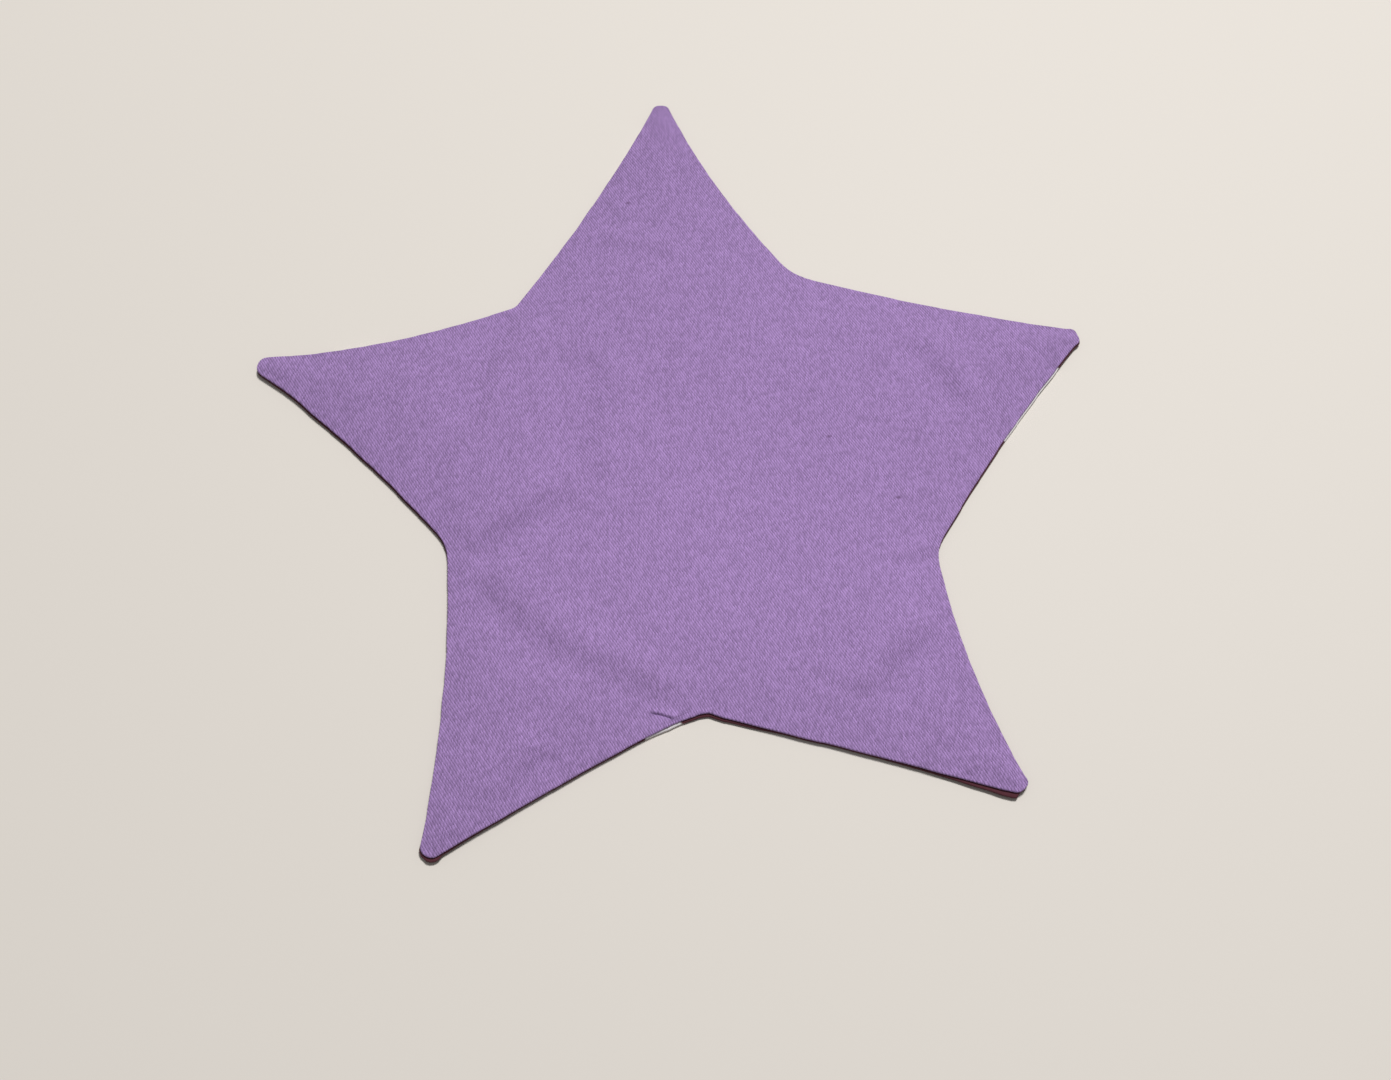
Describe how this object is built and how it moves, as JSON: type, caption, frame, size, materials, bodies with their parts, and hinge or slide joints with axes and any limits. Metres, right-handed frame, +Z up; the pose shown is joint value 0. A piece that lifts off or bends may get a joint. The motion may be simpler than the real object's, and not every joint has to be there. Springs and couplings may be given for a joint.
{
  "type": "sewn fabric star",
  "caption": "Flat star of two cotton cloths sewn together and turned out: plain twill front, flowered back, slim hollow arms with small rounded ends.",
  "frame": {"origin": "centre of the star on its underside", "axes": "+Z up through the front cloth, +Y along the top arm"},
  "size_m": [0.2168, 0.2123, 0.0042],
  "materials": {
    "front_cloth": "matt cotton twill, lilac",
    "back_cloth": "matt plain cotton, dark plum with off-white four-petal flowers",
    "thread": "sewing thread, mauve"
  },
  "bodies": {
    "root": {"front_panel": "front_cloth", "back_panel": "back_cloth", "seam_thread": "thread", "closing_thread": "thread"}
  },
  "joints": []
}
